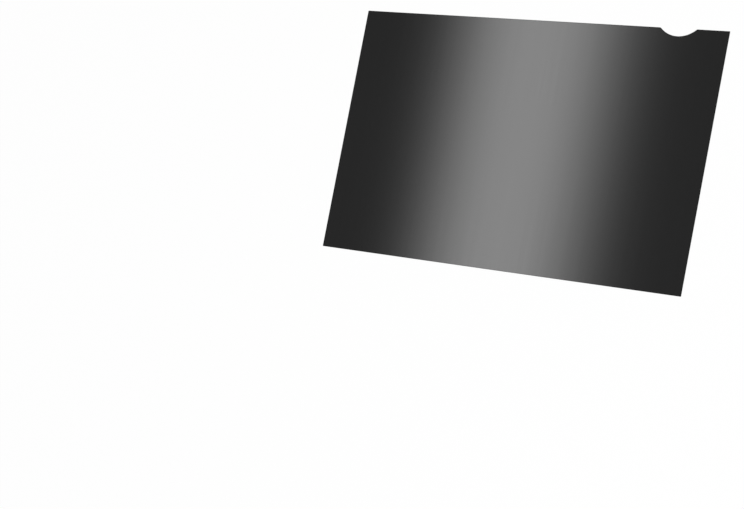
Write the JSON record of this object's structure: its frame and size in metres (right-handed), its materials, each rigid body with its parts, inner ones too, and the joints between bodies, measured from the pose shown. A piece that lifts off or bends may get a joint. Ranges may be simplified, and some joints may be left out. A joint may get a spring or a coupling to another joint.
{
  "type": "laptop privacy filter",
  "caption": "Thin flat sheet of dark see-through film that covers a laptop screen and hides it from the sides, with a shallow finger notch in its top edge for lifting it off.",
  "frame": {"origin": "middle of the rear face, the face that goes against the screen, on which the sheet lies", "axes": "+X along the width, towards the end with the finger notch; +Y up the screen, towards the notched top edge; +Z out of the front face"},
  "size_m": [0.344, 0.194, 0.0005],
  "materials": {
    "louvre_film": "smooth low-glare film, neutral dark grey, seen through best in a band down the middle and nearly black towards both ends"
  },
  "bodies": {
    "root": {"filter_sheet": "louvre_film"}
  },
  "joints": []
}
